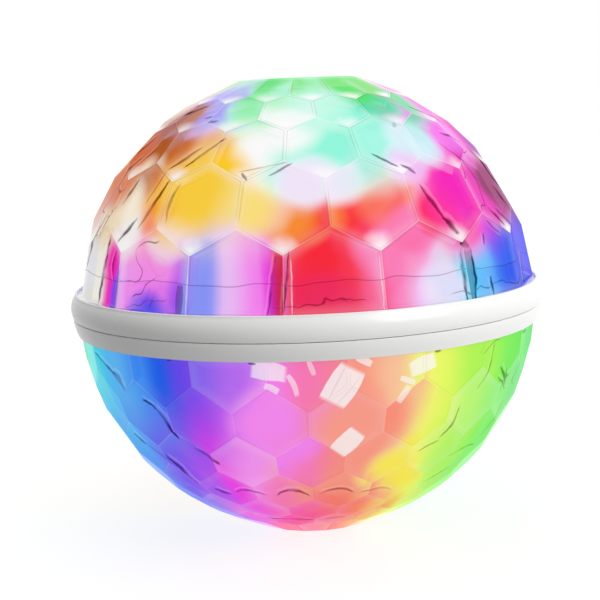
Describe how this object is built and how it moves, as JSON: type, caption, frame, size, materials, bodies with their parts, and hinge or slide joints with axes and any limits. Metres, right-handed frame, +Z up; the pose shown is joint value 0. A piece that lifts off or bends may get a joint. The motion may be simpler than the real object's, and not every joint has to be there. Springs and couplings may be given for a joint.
{
  "type": "led disco ball light",
  "caption": "Table-top light: a ball of two clear faceted domes joined by a white belt; the upper half turns on the lower half.",
  "frame": {"origin": "middle of the flat at the foot of the ball, on which it stands", "axes": "+Z up along the axis that the upper half turns on; +X towards the pinion; the picture looks along +Y"},
  "size_m": [0.1242, 0.1242, 0.1168],
  "materials": {
    "clear_upper_dome": "clear, polished, lit in many colours",
    "clear_lower_dome": "clear, polished, lit in many colours",
    "white_upper_belt": "gloss",
    "white_lower_belt": "gloss",
    "glide_ring_white": "smooth",
    "gear_acetal": "satin",
    "pinion_acetal": "satin",
    "white_inner_plastic": "satin",
    "white_board": "satin",
    "led_package": "satin",
    "frosted_cap": "frosted",
    "bright_steel": "smooth",
    "screw_steel": "smooth",
    "bush_brass": "smooth",
    "cell_sleeve": "gloss",
    "pad_foam": "matt",
    "black_moulding": "satin",
    "button_white": "gloss",
    "lead_sleeve": "satin"
  },
  "bodies": {
    "lower_half": {"lower_dome": "clear_lower_dome", "lower_belt": "white_lower_belt", "deck": "white_inner_plastic", "keeper_plate": "white_inner_plastic", "glide_ring": "glide_ring_white", "shaft_bush": "bush_brass", "geared_motor": "bright_steel", "motor_screw_1": "screw_steel", "motor_screw_2": "screw_steel", "keeper_screw_1": "screw_steel", "keeper_screw_2": "screw_steel", "keeper_screw_3": "screw_steel", "upper_light_board": "white_board", "upper_light_cap": "frosted_cap", "upper_board_screw_1": "screw_steel", "upper_board_screw_2": "screw_steel", "upper_board_screw_3": "screw_steel", "upper_led_1": "led_package", "upper_led_2": "led_package", "upper_led_3": "led_package", "upper_led_4": "led_package", "upper_led_5": "led_package", "upper_led_6": "led_package", "lower_light_board": "white_board", "lower_light_cap": "frosted_cap", "lower_board_screw_1": "screw_steel", "lower_board_screw_2": "screw_steel", "lower_board_screw_3": "screw_steel", "lower_led_1": "led_package", "lower_led_2": "led_package", "lower_led_3": "led_package", "post_frame": "bright_steel", "post_screw_1": "screw_steel", "post_screw_2": "screw_steel", "post_screw_3": "screw_steel", "reflector_bowl": "white_inner_plastic", "battery_cell": "cell_sleeve", "battery_pad": "pad_foam", "battery_cradle": "white_inner_plastic", "cradle_screw_1": "screw_steel", "cradle_screw_2": "screw_steel", "control_board": "white_board", "control_chip": "black_moulding", "control_screw_1": "screw_steel", "control_screw_2": "screw_steel", "microphone": "bright_steel", "charging_socket": "bright_steel", "socket_tongue": "black_moulding", "tact_switch": "black_moulding", "light_lead": "lead_sleeve"},
    "upper_half": {"upper_dome": "clear_upper_dome", "upper_belt": "white_upper_belt", "ring_gear": "gear_acetal"},
    "drive_pinion": {"pinion": "pinion_acetal", "motor_shaft": "bright_steel"},
    "button": {"power_button": "button_white", "switch_plunger": "button_white"}
  },
  "joints": [
    {"name": "dome_spin", "type": "hinge", "parent": "lower_half", "child": "upper_half", "pos_m": [0, 0, 0.05842], "axis": [0, 0, 1], "continuous": true},
    {"name": "pinion_spin", "type": "hinge", "parent": "lower_half", "child": "drive_pinion", "pos_m": [0.042, 0, 0.05842], "axis": [0, 0, 1], "continuous": true},
    {"name": "button_press", "type": "slide", "parent": "lower_half", "child": "button", "axis": [0.3256, -0.9455, 0], "range_m": [0, 0.0006], "stiffness_N_per_m": 400}
  ],
  "couplings": [
    {"joint": "pinion_spin", "follows": "dome_spin", "ratio": 5.6667}
  ]
}
